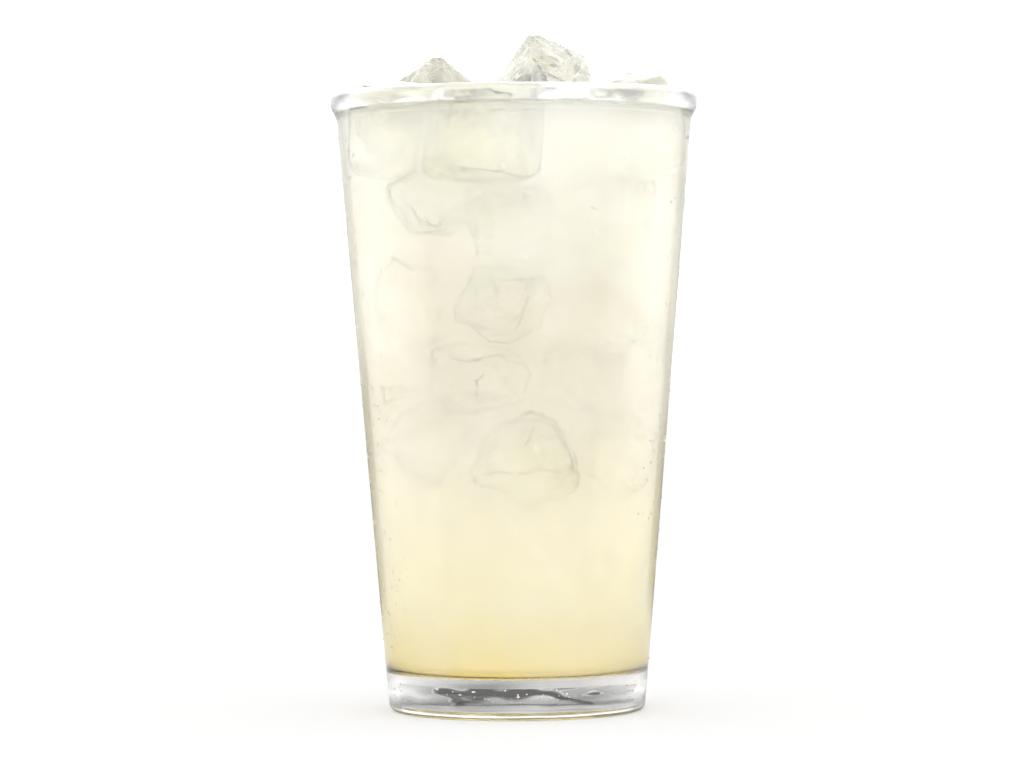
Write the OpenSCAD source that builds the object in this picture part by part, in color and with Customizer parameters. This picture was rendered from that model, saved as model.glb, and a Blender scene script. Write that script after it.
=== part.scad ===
// Tumbler of iced lemonade: a tapered pint glass with a thick clear base and a
// beaded rim, filled with lemonade, and the ice cubes that stand out of it.
// Millimetres. The origin is at the middle of the foot, on the table, +Z up.

/* [Glass] */
// Height of the glass
glass_h = 150; // [120:1:190]
// Outer diameter over the rim bead
rim_d = 88.8; // [72:0.2:110]
// Outer diameter at the foot, before its edge is rounded
foot_d = 62; // [50:0.5:76]
// Wall thickness
wall = 2.8; // [2:0.1:4]
// Thickness of the base under the drink
base_t = 9.8; // [6:0.2:16]
// Radius of the corner inside, between wall and floor
floor_fillet = 4; // [2:0.5:10]
// Radius of the outer edge of the foot
foot_round = 1.8; // [0.8:0.1:3]
// Height of the rim bead
bead_h = 5.2; // [4.8:0.1:9]
// How far the bead stands out past the wall
bead_out = 0.9; // [0.2:0.1:1.6]
// Width of the ring that the glass stands on
ring_w = 6; // [3:0.5:10]
// Depth of the hollow under the base
punt_h = 1.6; // [0.5:0.1:4]

/* [Lemonade] */
// Depth of the drink's surface below the rim
fill_gap = 4.5; // [3:0.5:40]

/* [Ice] */
// Edge length of a whole ice cube
ice_size = 24; // [16:0.5:30]
// Width of the melted edges
ice_melt = 2.2; // [0.8:0.1:4]
// Angle by which opposite faces of a cube fail to be parallel
ice_skew = 5; // [0:0.5:10]
// Clearance between neighbouring cubes, and between cube and wall
ice_gap = 0.5; // [0.2:0.1:2]

/* [Hidden] */

drink_z = glass_h - fill_gap;
wall_top_r = rim_d / 2 - bead_out;
bead_r = (wall + bead_out) / 2;
mouth_r = wall_top_r - wall;

// One row for each cube, in the order of the nodes: where its middle is over
// the drink's surface, as [x, y] in shares of the mouth's radius and z in
// shares of ice_size, how it leans about X, Y and Z, and how much of its
// three edges has not melted away.
ICE = [
    [[ 0.17, -0.16,  0.116], [-52,  21,  27], [0.76, 0.94, 0.86]],
    [[-0.46,  0.02, -0.074], [-32,  32,  37], [0.86, 0.80, 0.86]],
    [[ 0.65, -0.12, -0.124], [  8, -12,  32], [0.72, 0.88, 0.92]],
    [[-0.67, -0.34, -0.214], [  8, -12,  64], [0.68, 0.84, 0.90]],
    [[-0.10,  0.60, -0.204], [ 14,  10,  16], [0.92, 0.84, 0.90]],
    [[ 0.50,  0.52, -0.164], [ 22, -14,  48], [0.88, 0.84, 0.82]],
    [[-0.16, -0.68, -0.304], [-12,  10,  20], [0.94, 0.80, 0.86]],
    [[-0.58,  0.52, -0.184], [ 12,  20, -40], [0.80, 0.84, 0.86]],
];

// Radius of the outside of the plain wall, and of the inside, at height z
function outer_r(z) = foot_d / 2 + (wall_top_r - foot_d / 2) * z / glass_h;
function inner_r(z) = outer_r(z) - wall;

// Points of an arc of radius r about [x, z], from angle a to angle b
function arc(x, z, r, a, b, steps = 8) =
    [for (i = [0 : steps]) let (t = a + (b - a) * i / steps) [x + r * cos(t), z + r * sin(t)]];

// The corner between wall and floor, from the wall down to the floor
function floor_corner() =
    arc(inner_r(base_t + floor_fillet) - floor_fillet, base_t + floor_fillet, floor_fillet, 0, -90);

// Middle of cube i
function ice_mid(i) =
    [ICE[i][0][0] * mouth_r, ICE[i][0][1] * mouth_r, drink_z + ICE[i][0][2] * ice_size];

module glass() {
    foot_x = outer_r(foot_round) - foot_round;
    bead_x = rim_d / 2 - bead_r;
    color("white", 0.35) rotate_extrude($fn = 128) polygon(concat(
        [[0, punt_h], [foot_x - ring_w, punt_h], [foot_x - ring_w + punt_h, 0]],
        arc(foot_x, foot_round, foot_round, -90, 0),
        arc(bead_x, glass_h - bead_h + bead_r, bead_r, -45, 0),
        arc(bead_x, glass_h - bead_r, bead_r, 0, 180, 16),
        floor_corner(),
        [[0, base_t]]
    ));
}

// The room inside the glass from the floor up to height z, less a clearance
module cavity(z, gap = 0) {
    rotate_extrude($fn = 128) polygon(concat(
        [[0, base_t], [0, z], [inner_r(z) - gap, z]],
        [for (p = floor_corner()) [p[0] - gap, p[1]]]
    ));
}

// Side of the square prism, standing on its edge, that cuts the corners off
// a rectangle of sides a and b
function prism_side(a, b) = (a + b - 2 * ice_melt) / sqrt(2);

// A block of ice with edges s: its long edges melted flat, its corners round
module melted_block(s) {
    long = 2 * norm(s);
    intersection() {
        cube(s, center = true);
        rotate([ice_skew, -ice_skew, 0]) cube(s, center = true);
        rotate([45, 0, 0]) cube([long, prism_side(s.y, s.z), prism_side(s.y, s.z)], center = true);
        rotate([0, 45, 0]) cube([prism_side(s.x, s.z), long, prism_side(s.x, s.z)], center = true);
        rotate([0, 0, 45]) cube([prism_side(s.x, s.y), prism_side(s.x, s.y), long], center = true);
        sphere(norm(s) / 2 - ice_melt, $fn = 48);
    }
}

// Everything on the near side of the plane half-way between cubes i and j
module side_of(i, j) {
    d = ice_mid(j) - ice_mid(i);
    long = 4 * mouth_r;
    translate((ice_mid(i) + ice_mid(j)) / 2)
        rotate([0, acos(d.z / norm(d)), atan2(d.y, d.x)])
            translate([-long / 2, -long / 2, -long - ice_gap / 2]) cube(long);
}

// Cube i where it lies, cut off where it would reach its neighbours or the wall
module ice_shape(i) {
    intersection() {
        translate(ice_mid(i)) rotate(ICE[i][1]) melted_block(ice_size * ICE[i][2]);
        cavity(glass_h + ice_size, ice_gap);
        intersection_for(j = [for (k = [0 : len(ICE) - 1]) if (k != i) k]) side_of(i, j);
    }
}

module lemonade() {
    color("khaki", 0.8) difference() {
        cavity(drink_z);
        for (i = [0 : len(ICE) - 1]) ice_shape(i);
    }
}

module ice(i) {
    color("azure", 0.7) ice_shape(i);
}

glass();
lemonade();
for (i = [0 : len(ICE) - 1]) ice(i);
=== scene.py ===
"""Glass of iced lemonade: the looks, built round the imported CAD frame.

Metres, in the frame of the CAD part: origin at the middle of the foot, +Z up, the viewer at -Y.
"""

import math
import random

import bmesh
import bpy
import numpy as np
from mathutils import Matrix, Vector, noise


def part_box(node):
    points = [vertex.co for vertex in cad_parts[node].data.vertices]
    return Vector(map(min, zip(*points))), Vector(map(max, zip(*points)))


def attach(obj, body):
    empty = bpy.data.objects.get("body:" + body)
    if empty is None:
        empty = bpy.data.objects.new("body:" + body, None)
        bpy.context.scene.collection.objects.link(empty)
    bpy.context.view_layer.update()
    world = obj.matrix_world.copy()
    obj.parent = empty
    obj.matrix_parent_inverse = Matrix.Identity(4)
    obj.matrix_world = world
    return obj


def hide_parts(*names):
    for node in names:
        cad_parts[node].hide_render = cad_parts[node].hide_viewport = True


MM = 0.001
SEED = 7

# Glass, in millimetres: what the frame's boxes don't tell
WALL = 2.8
BEAD_H = 5.2
BEAD_OUT = 0.9
FOOT_D = 62.0
FOOT_ROUND = 1.8
RING_W = 6.0
PUNT_H = 1.6
FLOOR_FILLET = 4.0
BITE = 0.25  # how far the drink reaches into the glass's wall
MENISCUS = 1.0  # how far the drink climbs up the wall
GLASS_SIDES = 256
DRINK_SIDES = 192

# Air bubbles in the base, in millimetres
SEEDS = 120
SEED_R = (0.10, 0.22)
SEED_REACH = 27

# Air bubbles in the drink, in millimetres
TRAILS = 6
TRAIL_Z = (74, 136)
TRAIL_DEPTH = (0.9, 2.4)
TRAIL_LENGTH = (3, 9)
BUBBLE_R = (0.12, 0.25)

# Ice under the surface, in millimetres
ICE_RINGS = [  # height, number of cubes, and their distance from the axis as a share of the room
    (121.0, 7, 0.62),
    (100.0, 6, 0.60),
    (80.0, 6, 0.58),
    (63.0, 5, 0.56),
]
ICE_EDGE = 23.0
ICE_GAP = 2.0
ICE_LOWEST = 52.0
ICE_DEPTH = 1.5
WALL_CLEARANCE = (2.5, 9.0)
WALL_PLANES = 24
CHIPS = 4

# How ice has melted: size of the mesh's cells, rounds of smoothing, and unevenness in millimetres
TOP_MELT = (0.6, 2, 0.3)
SUNK_MELT = (1.1, 4, 2.0)

# Water on the outside, in millimetres
DROPLETS = 6000
DROPLET_R = (0.05, 0.45)
DROPLET_LEAST = 0.14
DROPLET_SINK = 0.05  # how far a drop reaches into the glass
DOME_SIDES = 8

# Camera
CAMERA_AT = Vector((-0.00085, -0.9825, 0.0932))
LOOK_DOWN = math.radians(0.82)
ROLL = math.radians(-0.34)
LENS = 142.1
SENSOR = 36.0

# Finishes
MIST = 0.16  # the share of light that the thickest mist scatters
FOG = (0.12, 0.30)  # roughness of the outside, where there is least mist and where most
BASE_RIPPLES = 0.00022
PAINTED_BASE_SHADE = [  # painted shade: how much light the base lets through, darker low down in place of the dark surroundings it would reflect, by its share of the height up to the drink
    (0.0, 0.55),
    (0.1, 0.25),
    (0.25, 0.30),
    (0.36, 0.48),
    (0.6, 0.90),
    (1.0, 0.97),
]
DRINK_ROUGHNESS = 0.07
DRINK_DENSITY = 120.0
DRINK_FORWARD = 0.8
DRINK_CLOUD = (1.0, 0.998, 0.980)
DRINK_TINT_AND_TOP_SHADE = [  # colour of the drink's outside, by share of its height; the greyer, darker stops at 0.88 and 1.0 are painted shade near the surface
    (0.0, (0.97, 0.82, 0.38)),
    (0.12, (0.98, 0.91, 0.63)),
    (0.42, (0.998, 0.94, 0.79)),
    (0.78, (0.985, 0.940, 0.815)),
    (0.88, (0.880, 0.852, 0.770)),
    (1.0, (0.910, 0.897, 0.848)),
]
# painted shade: the grey that the drink's colour is multiplied by in patches at the height of the ice
PAINTED_ICE_SHADE = (0.925, 0.925, 0.87)
TOP_IOR = 1.31
TOP_ROUGH = 0.3
# painted shade: the floating ice's colour greyed, the second tint also yellower
TOP_SHADE_TINTS = ((0.93, 0.935, 0.935), (0.96, 0.945, 0.83))
SUNK_IOR = 1.328
SUNK_ROUGH = 0.4
# painted shade: the sunken ice's colour greyed a little towards olive
SUNK_SHADE_TINTS = ((0.955, 0.96, 0.925), (1.0, 1.0, 0.995))

# Stage
FLOOR_WHITE = (0.32, 0.32, 0.32)
FLOOR_GREYS = [  # how pale the table is to all but the camera, by distance in metres
    (0.0, 0.46),
    (0.2, 0.46),
    (0.32, 0.055),
    (0.9, 0.055),
    (1.6, 0.16),
    (4.0, 0.40),
]
FLOOR_GLOW = 0.40
BACKDROP = 1.2
SKY = [  # how bright the studio is at each sine of elevation
    (0.0, 0.46),
    (0.015, 0.70),
    (0.06, 1.4),
    (0.26, 2.6),
    (0.5, 2.7),
    (1.0, 1.2),
]
CARD_X = 0.16
CARD_Y = 0.03
CARD_SIZE = (0.24, 0.19)
CARD_GLOW = (1.1, 2.5)

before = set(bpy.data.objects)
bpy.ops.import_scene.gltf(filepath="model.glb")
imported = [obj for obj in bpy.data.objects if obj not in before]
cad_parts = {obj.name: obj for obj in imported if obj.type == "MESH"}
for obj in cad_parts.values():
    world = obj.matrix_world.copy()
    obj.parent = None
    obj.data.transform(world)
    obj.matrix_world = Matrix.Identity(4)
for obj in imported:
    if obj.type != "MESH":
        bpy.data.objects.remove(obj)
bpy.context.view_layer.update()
TOP_ICE = sorted(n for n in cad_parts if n.startswith("ice"))

glass_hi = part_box("glass")[1]
drink_lo, drink_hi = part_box("lemonade")
GLASS_H = glass_hi.z / MM
RIM_R = glass_hi.x / MM
FLOOR_Z = drink_lo.z / MM
DRINK_Z = drink_hi.z / MM


# ---------------------------------------------------------------- shapes


def outer_r(z):
    """Radius in mm of the plain outer wall at height z."""
    top = RIM_R - BEAD_OUT
    return FOOT_D / 2 + (top - FOOT_D / 2) * z / GLASS_H


def inner_r(z):
    """Radius in mm of the inside of the wall at height z."""
    return outer_r(z) - WALL


def taper(radius):
    """How much a wall's radius grows with each mm of height."""
    return (radius(100) - radius(0)) / 100


def arc(x, z, r, start, end, steps):
    """Points of an arc of radius r about (x, z), angles in degrees."""
    turns = [math.radians(start + (end - start) * i / steps) for i in range(steps + 1)]
    return [(x + r * math.cos(t), z + r * math.sin(t)) for t in turns]


def line(a, b, steps):
    """Points from a up to but not including b."""
    return [
        (a[0] + (b[0] - a[0]) * i / steps, a[1] + (b[1] - a[1]) * i / steps)
        for i in range(steps)
    ]


def revolve(name, profile, segments):
    """A closed mesh from a profile in mm that starts and ends on the axis."""
    mesh = bmesh.new()
    rings = []
    for x, z in profile:
        if x < 1e-6:
            rings.append([mesh.verts.new((0, 0, z * MM))])
        else:
            turns = [2 * math.pi * k / segments for k in range(segments)]
            rings.append(
                [mesh.verts.new((x * MM * math.cos(t), x * MM * math.sin(t), z * MM)) for t in turns]
            )
    for low, high in zip(rings, rings[1:]):
        for k in range(segments):
            after = (k + 1) % segments
            corners = [low[k % len(low)], low[after % len(low)], high[after % len(high)], high[k % len(high)]]
            unique = list(dict.fromkeys(corners))
            if len(unique) > 2:
                mesh.faces.new(unique)
    bmesh.ops.recalc_face_normals(mesh, faces=mesh.faces)
    return make_object(name, mesh)


def make_object(name, mesh):
    """A smooth-shaded object in the scene from a bmesh, which it frees."""
    data = bpy.data.meshes.new(name)
    mesh.to_mesh(data)
    mesh.free()
    return show(name, data)


def show(name, data):
    """A smooth-shaded object in the scene from mesh data."""
    for polygon in data.polygons:
        polygon.use_smooth = True
    obj = bpy.data.objects.new(name, data)
    bpy.context.scene.collection.objects.link(obj)
    return obj


def bead_swell(t):
    """Where the outside is on its way out from the plain wall, at t = 0, to the bead's widest, at t = 1."""
    z = GLASS_H - BEAD_H - 2 + t * (BEAD_H - 1)
    return (outer_r(z) + (RIM_R - outer_r(z)) * t * t * (3 - 2 * t), z)


def glass_profile():
    """The glass from the middle of its underside, over the rim, to the middle of its floor inside."""
    foot_x = outer_r(FOOT_ROUND) - FOOT_ROUND
    bead_r = (WALL + BEAD_OUT) / 2
    bead_x = RIM_R - bead_r
    ring_in = foot_x - RING_W
    under = line((0, PUNT_H), (ring_in, PUNT_H), 6) + [(ring_in, PUNT_H), (ring_in + PUNT_H, 0)]
    foot = arc(foot_x, FOOT_ROUND, FOOT_ROUND, -90, 0, 10)
    bead_low = [bead_swell(i / 12) for i in range(13)]
    bead_top = arc(bead_x, GLASS_H - bead_r, bead_r, 0, 180, 20)
    corner_z = FLOOR_Z + FLOOR_FILLET
    corner = arc(inner_r(corner_z) - FLOOR_FILLET, corner_z, FLOOR_FILLET, 0, -90, 12)
    wall_out = line(foot[-1], bead_low[0], 24)[1:]
    wall_in = line(bead_top[-1], corner[0], 24)[1:]
    floor = line(corner[-1], (0, FLOOR_Z), 8)[1:] + [(0, FLOOR_Z)]
    return under + foot + wall_out + bead_low + bead_top + wall_in + corner + floor


def voids(name, middles, radii):
    """Air bubbles inside glass or drink, as small round shells whose faces look inwards."""
    mesh = bmesh.new()
    for middle, radius in zip(middles, radii):
        place = Matrix.Translation(middle * MM)
        bmesh.ops.create_icosphere(mesh, subdivisions=2, radius=radius * MM, matrix=place)
    bmesh.ops.reverse_faces(mesh, faces=mesh.faces)
    return make_object(name, mesh)


def polar(r, turn, z):
    """The point at distance r from the axis, angle turn and height z."""
    return Vector((r * math.cos(turn), r * math.sin(turn), z))


def make_seeds(rng):
    """Air bubbles in the thick base."""
    middles = []
    for _ in range(SEEDS):
        r = SEED_REACH * math.sqrt(rng.random())
        turn = rng.uniform(0, 2 * math.pi)
        middles.append(polar(r, turn, rng.uniform(PUNT_H + 1, FLOOR_Z - 1)))
    return voids("seeds", middles, [rng.uniform(*SEED_R) for _ in middles])


def make_bubbles(rng):
    """Air bubbles in the drink, in curved trails where they have caught under ice near the wall."""
    middles = []
    for _ in range(TRAILS):
        turn, z = rng.uniform(0, 2 * math.pi), rng.uniform(*TRAIL_Z)
        rise, bend = rng.uniform(-0.6, 0.6), rng.uniform(-0.05, 0.05)
        depth = rng.uniform(*TRAIL_DEPTH)
        for k in range(rng.randint(*TRAIL_LENGTH)):
            turn += rng.uniform(0.01, 0.05)
            z += rise * rng.uniform(0.5, 3) + bend * k
            middles.append(polar(inner_r(z) - depth, turn, z))
    return voids("bubbles", middles, [BUBBLE_R[0] + BUBBLE_R[1] * rng.random() ** 3 for _ in middles])


def tumbler(rng):
    """The glass with the air bubbles in its base."""
    obj = join("tumbler", [revolve("wall", glass_profile(), GLASS_SIDES), make_seeds(rng)])
    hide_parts("glass")
    return obj


def drink_profile():
    """The drink from the middle of its floor to the middle of its surface."""
    r = FLOOR_FILLET + BITE
    corner_z = FLOOR_Z + FLOOR_FILLET
    corner = arc(inner_r(corner_z) - FLOOR_FILLET, corner_z, r, -90, 0, 12)
    edge = inner_r(DRINK_Z) + BITE
    meniscus = [
        (edge - d, DRINK_Z + MENISCUS * math.exp(-d / 0.9)) for d in (0, 0.3, 0.6, 1.0, 1.5, 2.2, 3.2, 4.5)
    ]
    wall = line(corner[-1], meniscus[0], 40)[1:]
    return [(0, FLOOR_Z - BITE)] + line((4, FLOOR_Z - BITE), corner[0], 6) + corner + wall + meniscus + [
        (edge - 12, DRINK_Z),
        (edge - 24, DRINK_Z),
        (0, DRINK_Z),
    ]


# ---------------------------------------------------------------- ice


def block(middle, lean, sizes):
    """A cuboid as a bmesh, in mm."""
    mesh = bmesh.new()
    bmesh.ops.create_cube(mesh, size=1.0)
    turn = lean.to_matrix().to_4x4()
    place = Matrix.Translation(middle) @ turn @ Matrix.Diagonal((*sizes, 1.0))
    bmesh.ops.transform(mesh, matrix=place, verts=mesh.verts)
    return mesh


def cut_off(mesh, point, normal):
    """Cuts away what lies beyond the plane on its normal's side, and closes the cut."""
    parts = list(mesh.verts) + list(mesh.edges) + list(mesh.faces)
    bmesh.ops.bisect_plane(mesh, geom=parts, plane_co=point, plane_no=normal, clear_outer=True)
    edges = [e for e in mesh.edges if e.is_boundary]
    if edges:
        bmesh.ops.contextual_create(mesh, geom=edges)


def seeds_of_sunken_ice(rng):
    """Middles of the cubes under the surface, in rings that follow the tapered wall."""
    found = []
    for z, count, share in ICE_RINGS:
        start = rng.uniform(0, 2 * math.pi)
        for k in range(count):
            turn = start + 2 * math.pi * (k + rng.uniform(-0.16, 0.16)) / count
            r = inner_r(z) * share * rng.uniform(0.92, 1.06)
            found.append(polar(r, turn, z + rng.uniform(-5, 5)))
        found.append(Vector((rng.uniform(-4, 4), rng.uniform(-4, 4), z + rng.uniform(-8, 8))))
    return [s for s in found if s.z > ICE_LOWEST]


def sunken_ice(rng, top_middles):
    """Convex blocks, cut off half-way to their neighbours and short of the wall."""
    seeds = seeds_of_sunken_ice(rng)
    middles = seeds + top_middles
    blocks = []
    for i, middle in enumerate(seeds):
        lean = noise.random_unit_vector().to_track_quat("Z", "Y").to_euler()
        lean.rotate_axis("Z", rng.uniform(0, 3))
        sizes = [ICE_EDGE * rng.uniform(0.62, 0.95) for _ in range(3)]
        mesh = block(middle, lean, sizes)
        for j, other in enumerate(middles):
            if j != i and (other - middle).length < 2 * ICE_EDGE:
                away = (other - middle).normalized()
                cut_off(mesh, (middle + other) / 2 - away * ICE_GAP / 2, away)
        clearance = rng.uniform(*WALL_CLEARANCE)
        for k in range(WALL_PLANES):
            turn = 2 * math.pi * k / WALL_PLANES
            out = polar(1, turn, -taper(inner_r)).normalized()
            cut_off(mesh, polar(inner_r(middle.z) - clearance, turn, middle.z), out)
        for _ in range(CHIPS):
            away = noise.random_unit_vector()
            cut_off(mesh, middle + away * ICE_EDGE * rng.uniform(0.36, 0.5), away)
        cut_off(mesh, Vector((0, 0, DRINK_Z - ICE_DEPTH)), Vector((0, 0, 1)))
        if len(mesh.faces) > 3:
            blocks.append(mesh)
    return blocks


def melt(name, mesh, finish, seed):
    """Rounds a convex block in mm into worn ice: remeshed, relaxed and made uneven."""
    voxel, rounds, wobble = finish
    bmesh.ops.recalc_face_normals(mesh, faces=mesh.faces)
    obj = make_object(name, mesh)
    remesh = obj.modifiers.new("remesh", "REMESH")
    remesh.mode = "VOXEL"
    remesh.voxel_size = voxel
    relax = obj.modifiers.new("relax", "SMOOTH")
    relax.factor = 0.5
    relax.iterations = rounds
    bake_modifiers(obj)
    data = obj.data
    co = np.zeros(len(data.vertices) * 3)
    no = np.zeros(len(data.vertices) * 3)
    data.vertices.foreach_get("co", co)
    data.vertices.foreach_get("normal", no)
    co = co.reshape(-1, 3)
    no = no.reshape(-1, 3)
    shift = Vector((seed * 13.7, seed * 7.1, seed * 3.3))
    push = [
        wobble * (noise.noise(Vector(p) * 0.14 + shift) + 0.45 * noise.noise(Vector(p) * 0.5 + shift) - 0.35)
        for p in co
    ]
    co += no * np.array(push)[:, None]
    data.vertices.foreach_set("co", (co * MM).ravel())
    data.update()
    for polygon in data.polygons:
        polygon.use_smooth = True
    return obj


def bake_modifiers(obj):
    """Replaces obj's mesh by what its modifiers make of it."""
    view = bpy.context.evaluated_depsgraph_get()
    view.update()
    made = bpy.data.meshes.new_from_object(obj.evaluated_get(view))
    obj.modifiers.clear()
    old = obj.data
    obj.data = made
    bpy.data.meshes.remove(old)


def cad_block(node):
    """A copy of a CAD node's mesh as a bmesh, in mm."""
    mesh = bmesh.new()
    mesh.from_mesh(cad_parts[node].data)
    bmesh.ops.remove_doubles(mesh, verts=mesh.verts, dist=1e-6)
    bmesh.ops.scale(mesh, vec=(1 / MM,) * 3, verts=mesh.verts)
    return mesh


def join(name, objects):
    """One object from several, with their meshes put together."""
    mesh = bmesh.new()
    for obj in objects:
        mesh.from_mesh(obj.data)
        bpy.data.objects.remove(obj)
    return make_object(name, mesh)


def subtract(obj, cutter):
    """Cuts cutter's shape out of obj and removes cutter."""
    cut = obj.modifiers.new("cut", "BOOLEAN")
    cut.operation = "DIFFERENCE"
    cut.solver = "EXACT"
    cut.object = cutter
    bake_modifiers(obj)
    bpy.data.objects.remove(cutter)


# ---------------------------------------------------------------- water outside


def dome(middle, out, radius, height):
    """Points and faces of a closed droplet that stands on the wall, numbered from 0."""
    side = out.orthogonal().normalized()
    up = out.cross(side)
    rings = [(1.0, -DROPLET_SINK), (1.0, 0.0), (0.78, 0.62 * height), (0.42, 0.92 * height)]
    points = [middle + out * -DROPLET_SINK]
    for share, lift in rings:
        for k in range(DOME_SIDES):
            turn = 2 * math.pi * k / DOME_SIDES
            spread = side * math.cos(turn) + up * math.sin(turn)
            points.append(middle + spread * radius * share + out * lift)
    points.append(middle + out * height)
    faces = []
    for k in range(DOME_SIDES):
        after = (k + 1) % DOME_SIDES
        faces.append((0, 1 + after, 1 + k))
        for ring in range(len(rings) - 1):
            low, high = 1 + ring * DOME_SIDES, 1 + (ring + 1) * DOME_SIDES
            faces.append((low + k, low + after, high + after, high + k))
        last = 1 + (len(rings) - 1) * DOME_SIDES
        faces.append((last + k, last + after, len(points) - 1))
    return points, faces


def make_droplets(rng):
    """Condensation that has gathered into drops, at the left and right. What is finer is the glass's mist."""
    points, faces = [], []
    for _ in range(DROPLETS):
        z = FLOOR_Z + 2 + (GLASS_H - BEAD_H - FLOOR_Z - 3) * rng.random() ** 0.85
        turn = rng.uniform(0, 2 * math.pi)
        out = polar(1, turn, -taper(outer_r)).normalized()
        middle = polar(outer_r(z), turn, z)
        growth = rng.random() ** 2.5 * math.cos(turn) ** 4
        radius = DROPLET_R[0] + (DROPLET_R[1] - DROPLET_R[0]) * growth
        if radius < DROPLET_LEAST:
            continue
        made, rows = dome(middle, out, radius, radius * rng.uniform(0.5, 0.85))
        faces += [tuple(len(points) + i for i in row) for row in rows]
        points += made
    data = bpy.data.meshes.new("droplets")
    data.from_pydata([p * MM for p in points], [], faces)
    return show("droplets", data)


# ---------------------------------------------------------------- materials


class Nodes:
    """Shorthand for building a material's node tree."""

    def __init__(self, name):
        self.material = bpy.data.materials.new(name)
        self.material.use_nodes = True
        self.tree = self.material.node_tree
        self.tree.nodes.clear()
        self.out = self.add("ShaderNodeOutputMaterial")

    def add(self, kind, **values):
        """A new node, with values set on its sockets, or else on the node itself."""
        node = self.tree.nodes.new(kind)
        for key, value in values.items():
            if key in node.inputs:
                node.inputs[key].default_value = value
            else:
                setattr(node, key, value)
        return node

    def link(self, a, b):
        self.tree.links.new(a, b)

    def position(self):
        return self.add("ShaderNodeNewGeometry").outputs["Position"]

    def height(self):
        """Height in metres."""
        split = self.add("ShaderNodeSeparateXYZ")
        self.link(self.position(), split.inputs[0])
        return split.outputs["Z"]

    def noise(self, scale, detail=2.0, flat=1.0):
        """Noise over position, with its grains flat times wider than high."""
        made = self.add("ShaderNodeTexNoise", Scale=scale, Detail=detail)
        stretch = self.add("ShaderNodeVectorMath", operation="MULTIPLY")
        self.link(self.position(), stretch.inputs[0])
        stretch.inputs[1].default_value = (1, 1, flat)
        self.link(stretch.outputs[0], made.inputs["Vector"])
        return made.outputs["Fac"]

    def behind(self):
        """From 1 straight behind the glass, through 0 beside it, to -1 in front."""
        away = self.add("ShaderNodeVectorMath", operation="NORMALIZE")
        self.link(self.position(), away.inputs[0])
        split = self.add("ShaderNodeSeparateXYZ")
        self.link(away.outputs[0], split.inputs[0])
        return split.outputs["Y"]

    def past_wall(self, depth=0.0):
        """1 further out than depth mm into the glass's wall, and 0 inside of that."""
        split = self.add("ShaderNodeSeparateXYZ")
        self.link(self.position(), split.inputs[0])
        across = self.add("ShaderNodeCombineXYZ")
        self.link(split.outputs["X"], across.inputs["X"])
        self.link(split.outputs["Y"], across.inputs["Y"])
        radius = self.add("ShaderNodeVectorMath", operation="LENGTH")
        self.link(across.outputs[0], radius.inputs[0])
        widening = self.math("MULTIPLY", split.outputs["Z"], taper(inner_r))
        wall = self.math("ADD", widening, (inner_r(0) + depth) * MM)
        return self.math("GREATER_THAN", radius.outputs["Value"], wall)

    def math(self, operation, a, b):
        """The result of a sum on two sockets or numbers."""
        made = self.add("ShaderNodeMath", operation=operation)
        for socket, value in zip(made.inputs, (a, b)):
            if isinstance(value, float):
                socket.default_value = value
            else:
                self.link(value, socket)
        return made.outputs[0]

    def ramp(self, value, stops):
        """Colours looked up by value."""
        made = self.add("ShaderNodeValToRGB")
        self.link(value, made.inputs["Fac"])
        elements = made.color_ramp.elements
        while len(elements) < len(stops):
            elements.new(0.5)
        for element, (at, colour) in zip(elements, stops):
            element.position = at
            element.color = (*colour, 1.0)
        return made.outputs["Color"]

    def spread(self, value, low, high, to_low=0.0, to_high=1.0):
        """The range low to high of value, moved to to_low to to_high and kept within it."""
        made = self.add("ShaderNodeMapRange")
        self.link(value, made.inputs["Value"])
        for key, number in zip(("From Min", "From Max", "To Min", "To Max"), (low, high, to_low, to_high)):
            made.inputs[key].default_value = number
        return made.outputs["Result"]


def glass_material():
    """Clear glass, with a breath of mist where cold drink stands behind it."""
    n = Nodes("misted_glass")
    patches = n.spread(n.noise(30.0, 3.0), 0.42, 0.70, 0.0, 0.7)
    top = n.spread(n.height(), 0.118, 0.146, 0.0, 0.4)
    mist = n.math("MAXIMUM", patches, top)
    shader = n.add("ShaderNodeBsdfPrincipled", IOR=1.5, Roughness=0.0)
    shader.inputs["Base Color"].default_value = (0.998, 1, 0.999, 1)
    n.link(n.spread(mist, 0.0, 1.0, 1.0, 1.0 - MIST), shader.inputs["Transmission Weight"])
    fog = n.spread(mist, 0.0, 1.0, *FOG)
    n.link(n.math("MULTIPLY", fog, n.past_wall(WALL / 2)), shader.inputs["Roughness"])
    n.link(shader.outputs[0], n.out.inputs["Surface"])
    return n.material


def base_material():
    """The thick base: clear glass, rippled from pressing, with painted shade that darkens it low down."""
    n = Nodes("rippled_glass_painted_shade")
    shader = n.add("ShaderNodeBsdfPrincipled", IOR=1.5, Roughness=0.0)
    shader.inputs["Transmission Weight"].default_value = 1.0
    uneven = n.spread(n.noise(55.0, 2.0, 3.0), 0.35, 0.65, -0.12, 0.12)
    level = n.math("ADD", n.spread(n.height(), 0.0, FLOOR_Z * MM), uneven)
    shades = [(at, (shade, shade, shade)) for at, shade in PAINTED_BASE_SHADE]
    # painted shade: the base's colour darkens low down, standing in for dark surroundings it would reflect
    n.link(n.ramp(level, shades), shader.inputs["Base Color"])
    ripples = n.add("ShaderNodeBump", Distance=BASE_RIPPLES)
    n.link(n.noise(45.0, 2.0, 2.5), ripples.inputs["Height"])
    n.link(n.spread(n.height(), FLOOR_Z * MM, (FLOOR_Z - 2) * MM), ripples.inputs["Strength"])
    n.link(ripples.outputs["Normal"], shader.inputs["Normal"])
    n.link(shader.outputs[0], n.out.inputs["Surface"])
    return n.material


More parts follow.
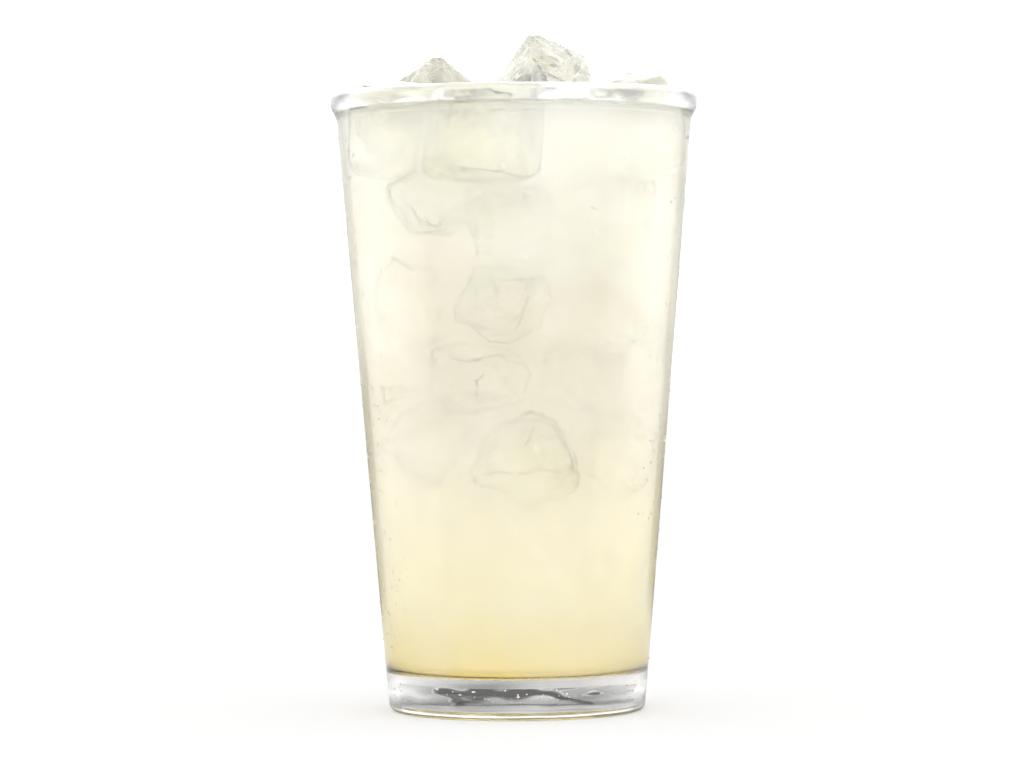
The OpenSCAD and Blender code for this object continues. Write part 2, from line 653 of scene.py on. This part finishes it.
def lemonade_material():
    """Cloudy drink, yellower towards the base, with painted shade: greyer patches at the height of the ice
    and a greyer, darker top.
    """
    n = Nodes("cloudy_lemonade")
    shader = n.add("ShaderNodeBsdfPrincipled", IOR=1.33, Roughness=DRINK_ROUGHNESS)
    shader.inputs["Transmission Weight"].default_value = 1.0
    share = n.spread(n.height(), FLOOR_Z * MM, DRINK_Z * MM)
    # painted shade: greyer patches multiplied into the drink's colour at the height of the ice
    shade = n.add("ShaderNodeMix", data_type="RGBA", blend_type="MULTIPLY")
    among_ice = n.math("MULTIPLY", n.spread(share, 0.32, 0.5), n.spread(share, 1.0, 0.85))
    patches = n.spread(n.noise(48.0, 1.0), 0.50, 0.66)
    n.link(n.math("MULTIPLY", among_ice, patches), shade.inputs["Factor"])
    # the drink's yellow by height, with painted shade at the top
    n.link(n.ramp(share, DRINK_TINT_AND_TOP_SHADE), shade.inputs["A"])
    shade.inputs["B"].default_value = (*PAINTED_ICE_SHADE, 1)
    outside = n.add("ShaderNodeMix", data_type="RGBA")
    in_corner = n.math("LESS_THAN", n.height(), (FLOOR_Z + FLOOR_FILLET) * MM)
    n.link(n.math("MAXIMUM", n.past_wall(), in_corner), outside.inputs["Factor"])
    outside.inputs["A"].default_value = (1, 1, 1, 1)
    n.link(shade.outputs["Result"], outside.inputs["B"])
    n.link(outside.outputs["Result"], shader.inputs["Base Color"])
    n.link(shader.outputs[0], n.out.inputs["Surface"])
    scatter = n.add("ShaderNodeVolumeScatter", Density=DRINK_DENSITY, Anisotropy=DRINK_FORWARD)
    scatter.inputs["Color"].default_value = (*DRINK_CLOUD, 1)
    n.link(scatter.outputs[0], n.out.inputs["Volume"])
    return n.material


def ice_material(name, ior, shade_tints, rough):
    """Wet ice: clear and smooth here, rough and crumbly there, its colour greyed in patches by painted shade.
    """
    n = Nodes(name)
    shader = n.add("ShaderNodeBsdfPrincipled", IOR=ior)
    shader.inputs["Transmission Weight"].default_value = 1.0
    patches = n.spread(n.noise(42.0), 0.42, 0.62)
    # painted shade: the ice's colour greyed in patches between the two tints
    n.link(n.ramp(patches, [(0.0, shade_tints[0]), (1.0, shade_tints[1])]), shader.inputs["Base Color"])
    crumbly = n.spread(n.noise(95.0, 3.0), 0.48, 0.66)
    n.link(n.spread(crumbly, 0.0, 1.0, 0.0, rough), shader.inputs["Roughness"])
    crumbs = n.add("ShaderNodeBump", Distance=0.0004)
    n.link(n.noise(700.0, 4.0), crumbs.inputs["Height"])
    n.link(n.spread(crumbly, 0.0, 1.0, 0.03, 1.0), crumbs.inputs["Strength"])
    n.link(crumbs.outputs["Normal"], shader.inputs["Normal"])
    n.link(shader.outputs[0], n.out.inputs["Surface"])
    return n.material


def water_material():
    """Clear water for the droplets."""
    n = Nodes("water")
    shader = n.add("ShaderNodeBsdfPrincipled", IOR=1.33)
    shader.inputs["Transmission Weight"].default_value = 1.0
    shader.inputs["Base Color"].default_value = (1, 1, 1, 1)
    n.link(n.spread(n.noise(900.0), 0.5, 0.8, 0.0, 0.08), shader.inputs["Roughness"])
    n.link(shader.outputs[0], n.out.inputs["Surface"])
    return n.material


def floor_material():
    """White where the camera sees it. Glass shows a grey table, with a dark stretch on its far side."""
    n = Nodes("pale_floor")
    distance = n.add("ShaderNodeVectorMath", operation="LENGTH")
    n.link(n.position(), distance.inputs[0])
    reach = FLOOR_GREYS[-1][0]
    greys = [(at / reach, (grey, grey, grey)) for at, grey in FLOOR_GREYS]
    seen = n.add("ShaderNodeLightPath").outputs["Is Camera Ray"]
    colour = n.add("ShaderNodeMix", data_type="RGBA")
    n.link(seen, colour.inputs["Factor"])
    table = n.add("ShaderNodeMix", data_type="RGBA")
    n.link(n.spread(n.behind(), 0.3, 0.7), table.inputs["Factor"])
    table.inputs["A"].default_value = (*greys[0][1], 1)
    n.link(n.ramp(n.spread(distance.outputs["Value"], 0.0, reach), greys), table.inputs["B"])
    n.link(table.outputs["Result"], colour.inputs["A"])
    colour.inputs["B"].default_value = (*FLOOR_WHITE, 1)
    shader = n.add("ShaderNodeBsdfDiffuse")
    n.link(colour.outputs["Result"], shader.inputs["Color"])
    glow = n.add("ShaderNodeEmission")
    n.link(n.spread(seen, 0.0, 1.0, 0.0, FLOOR_GLOW), glow.inputs["Strength"])
    both = n.add("ShaderNodeAddShader")
    n.link(shader.outputs[0], both.inputs[0])
    n.link(glow.outputs[0], both.inputs[1])
    n.link(both.outputs[0], n.out.inputs["Surface"])
    n.material.cycles.emission_sampling = "NONE"
    return n.material


# ---------------------------------------------------------------- stage


def make_camera():
    """The camera, where the photo's was."""
    data = bpy.data.cameras.new("camera")
    data.lens = LENS
    data.sensor_width = SENSOR
    data.clip_start = 0.01
    camera = bpy.data.objects.new("camera", data)
    level = Matrix.Rotation(math.pi / 2 - LOOK_DOWN, 4, "X")
    camera.matrix_world = Matrix.Translation(CAMERA_AT) @ level @ Matrix.Rotation(ROLL, 4, "Z")
    bpy.context.scene.collection.objects.link(camera)
    bpy.context.scene.camera = camera


def make_floor():
    """The table."""
    mesh = bmesh.new()
    bmesh.ops.create_grid(mesh, x_segments=2, y_segments=2, size=6.0)
    floor = make_object("floor", mesh)
    floor.data.materials.append(floor_material())


def make_world():
    """A white backdrop to the camera. The glass itself meets a studio that is dimmer near the table."""
    world = bpy.data.worlds.new("studio")
    bpy.context.scene.world = world
    world.use_nodes = True
    world.cycles.sampling_method = "NONE"
    tree = world.node_tree
    split = tree.nodes.new("ShaderNodeSeparateXYZ")
    tree.links.new(tree.nodes.new("ShaderNodeTexCoord").outputs["Generated"], split.inputs[0])
    sky = tree.nodes.new("ShaderNodeValToRGB")
    tree.links.new(split.outputs["Z"], sky.inputs["Fac"])
    elements = sky.color_ramp.elements
    while len(elements) < len(SKY):
        elements.new(0.5)
    for element, (at, value) in zip(elements, SKY):
        element.position = at
        element.color = (value, value, value, 1)
    mix = tree.nodes.new("ShaderNodeMix")
    mix.data_type = "RGBA"
    tree.links.new(tree.nodes.new("ShaderNodeLightPath").outputs["Is Camera Ray"], mix.inputs["Factor"])
    tree.links.new(sky.outputs["Color"], mix.inputs["A"])
    mix.inputs["B"].default_value = (BACKDROP, BACKDROP, BACKDROP, 1)
    tree.links.new(mix.outputs["Result"], tree.nodes["Background"].inputs["Color"])


def make_cards():
    """Two pale cards just outside the picture, which brighten the sides of the glass."""
    n = Nodes("card")
    middle = n.add("ShaderNodeVectorMath", operation="LENGTH")
    n.link(n.add("ShaderNodeTexCoord").outputs["Object"], middle.inputs[0])
    glow = n.add("ShaderNodeEmission")
    n.link(n.spread(middle.outputs["Value"], 0.5, 0.0, *CARD_GLOW), glow.inputs["Strength"])
    n.link(glow.outputs[0], n.out.inputs["Surface"])
    n.material.cycles.emission_sampling = "NONE"
    for side in (-1, 1):
        mesh = bmesh.new()
        bmesh.ops.create_grid(mesh, x_segments=1, y_segments=1, size=0.5)
        card = make_object(f"card_{side + 2}", mesh)
        card.scale = (CARD_SIZE[1], CARD_SIZE[0], 1)
        card.location = (side * CARD_X, CARD_Y, CARD_SIZE[1] / 2 + 0.001)
        card.rotation_euler = (0, math.pi / 2, 0)
        card.visible_camera = False
        card.visible_diffuse = False
        card.visible_shadow = False
        card.data.materials.append(n.material)


def set_light_paths():
    """Enough bounces for light to get through glass, drink and ice."""
    scene = bpy.context.scene
    scene.view_settings.view_transform = "Standard"
    scene.cycles.max_bounces = 80
    scene.cycles.transmission_bounces = 48
    scene.cycles.volume_bounces = 32
    scene.cycles.diffuse_bounces = 4
    scene.cycles.blur_glossy = 0.0
    scene.cycles.use_denoising = True


# ---------------------------------------------------------------- the drink


def build():
    """Makes every piece of the visual model."""
    rng = random.Random(SEED)
    noise.seed_set(SEED)
    glass = tumbler(rng)
    glass.data.materials.append(glass_material())
    glass.data.materials.append(base_material())
    for polygon in glass.data.polygons:
        polygon.material_index = int(polygon.center.z < FLOOR_Z * MM)
    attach(glass, "root")

    droplets = make_droplets(rng)
    droplets.data.materials.append(water_material())
    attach(droplets, "root")

    top_middles = []
    cubes = []
    for k, node in enumerate(TOP_ICE):
        lo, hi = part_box(node)
        top_middles.append((lo + hi) / 2 / MM)
        cube = melt(f"{node}_cube", cad_block(node), TOP_MELT, k + 1)
        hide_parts(node)
        cubes.append(cube)
    blocks = sunken_ice(rng, top_middles)
    sunk = [melt(f"sunk_{k}", mesh, SUNK_MELT, 20 + k) for k, mesh in enumerate(blocks)]

    drink = revolve("drink", drink_profile(), DRINK_SIDES)
    cutter = join("cutter", [shrunk_copy(o) for o in cubes + sunk])
    subtract(drink, cutter)
    drink = join("drink", [drink, make_bubbles(rng)])
    drink.data.materials.clear()
    drink.data.materials.append(lemonade_material())
    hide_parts("lemonade")
    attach(drink, "root")

    wet = ice_material("wet_ice", TOP_IOR, TOP_SHADE_TINTS, TOP_ROUGH)
    for obj in cubes:
        finish_ice(obj, wet)
    finish_ice(join("sunken_ice", sunk), ice_material("sunken_ice", SUNK_IOR, SUNK_SHADE_TINTS, SUNK_ROUGH))


def finish_ice(obj, material):
    """Gives ice its material, body and slot."""
    obj.data.materials.clear()
    obj.data.materials.append(material)
    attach(obj, "root")


def shrunk_copy(obj):
    """A copy of obj, BITE / 2 smaller all round, so that ice reaches into the drink about it."""
    made = obj.copy()
    made.data = obj.data.copy()
    for vertex, normal in zip(made.data.vertices, [v.normal.copy() for v in made.data.vertices]):
        vertex.co -= normal * (BITE / 2 * MM)
    bpy.context.scene.collection.objects.link(made)
    return made


make_camera()
make_floor()
make_world()
make_cards()
set_light_paths()
build()
